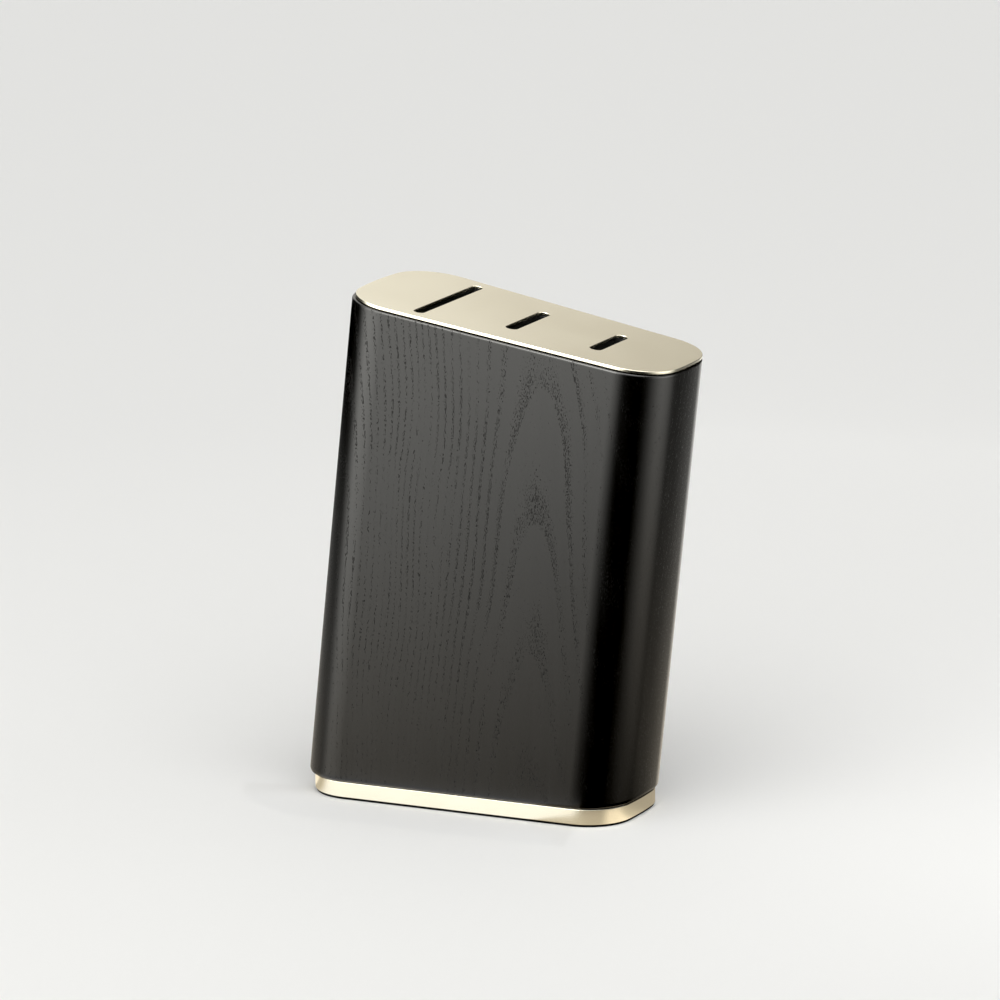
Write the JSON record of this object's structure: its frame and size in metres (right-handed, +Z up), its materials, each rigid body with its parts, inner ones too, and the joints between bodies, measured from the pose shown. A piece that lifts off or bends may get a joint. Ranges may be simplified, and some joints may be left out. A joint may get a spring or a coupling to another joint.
{
  "type": "knife block",
  "caption": "Leaning, tapered ash knife block on a metal plinth, with a slotted metal top plate whose lid lifts off for cleaning; it stores kitchen knives upright.",
  "frame": {"origin": "middle of the foot pad's underside, where the body's long centre line meets its middle", "axes": "+Z up, +X the way the body leans and narrows, -Y the front face"},
  "size_m": [0.1861, 0.0814, 0.2421],
  "materials": {
    "black_ash": "black-stained open-grain ash, satin",
    "champagne_metal": "champagne, fine satin",
    "black_plastic": "fine matt",
    "plywood": "sanded",
    "steel": "bright zinc",
    "magnet": "nickel plated",
    "rubber": "matt"
  },
  "bodies": {
    "block": {"wood_shell": "black_ash", "ledge_left": "black_plastic", "ledge_right": "black_plastic", "striker_1": "steel", "striker_2": "steel", "striker_3": "steel", "striker_4": "steel", "lower_comb": "black_plastic", "floor_board": "plywood", "tip_pad": "rubber", "base_plinth": "champagne_metal", "ballast_plate": "steel", "base_screw_1": "steel", "base_screw_2": "steel", "base_screw_3": "steel", "base_screw_4": "steel", "foot_pad": "rubber"},
    "lid": {"top_plate": "champagne_metal", "guide_head": "black_plastic", "plate_stud_1": "steel", "plate_stud_2": "steel", "plate_stud_3": "steel", "plate_stud_4": "steel", "stud_nut_1": "steel", "stud_nut_2": "steel", "stud_nut_3": "steel", "stud_nut_4": "steel", "lid_magnet_1": "magnet", "lid_magnet_2": "magnet", "lid_magnet_3": "magnet", "lid_magnet_4": "magnet"}
  },
  "joints": [
    {"name": "lid_lift", "type": "slide", "parent": "block", "child": "lid", "axis": [0.1028, 0, 0.9947], "range_m": [0, 0.06]}
  ]
}
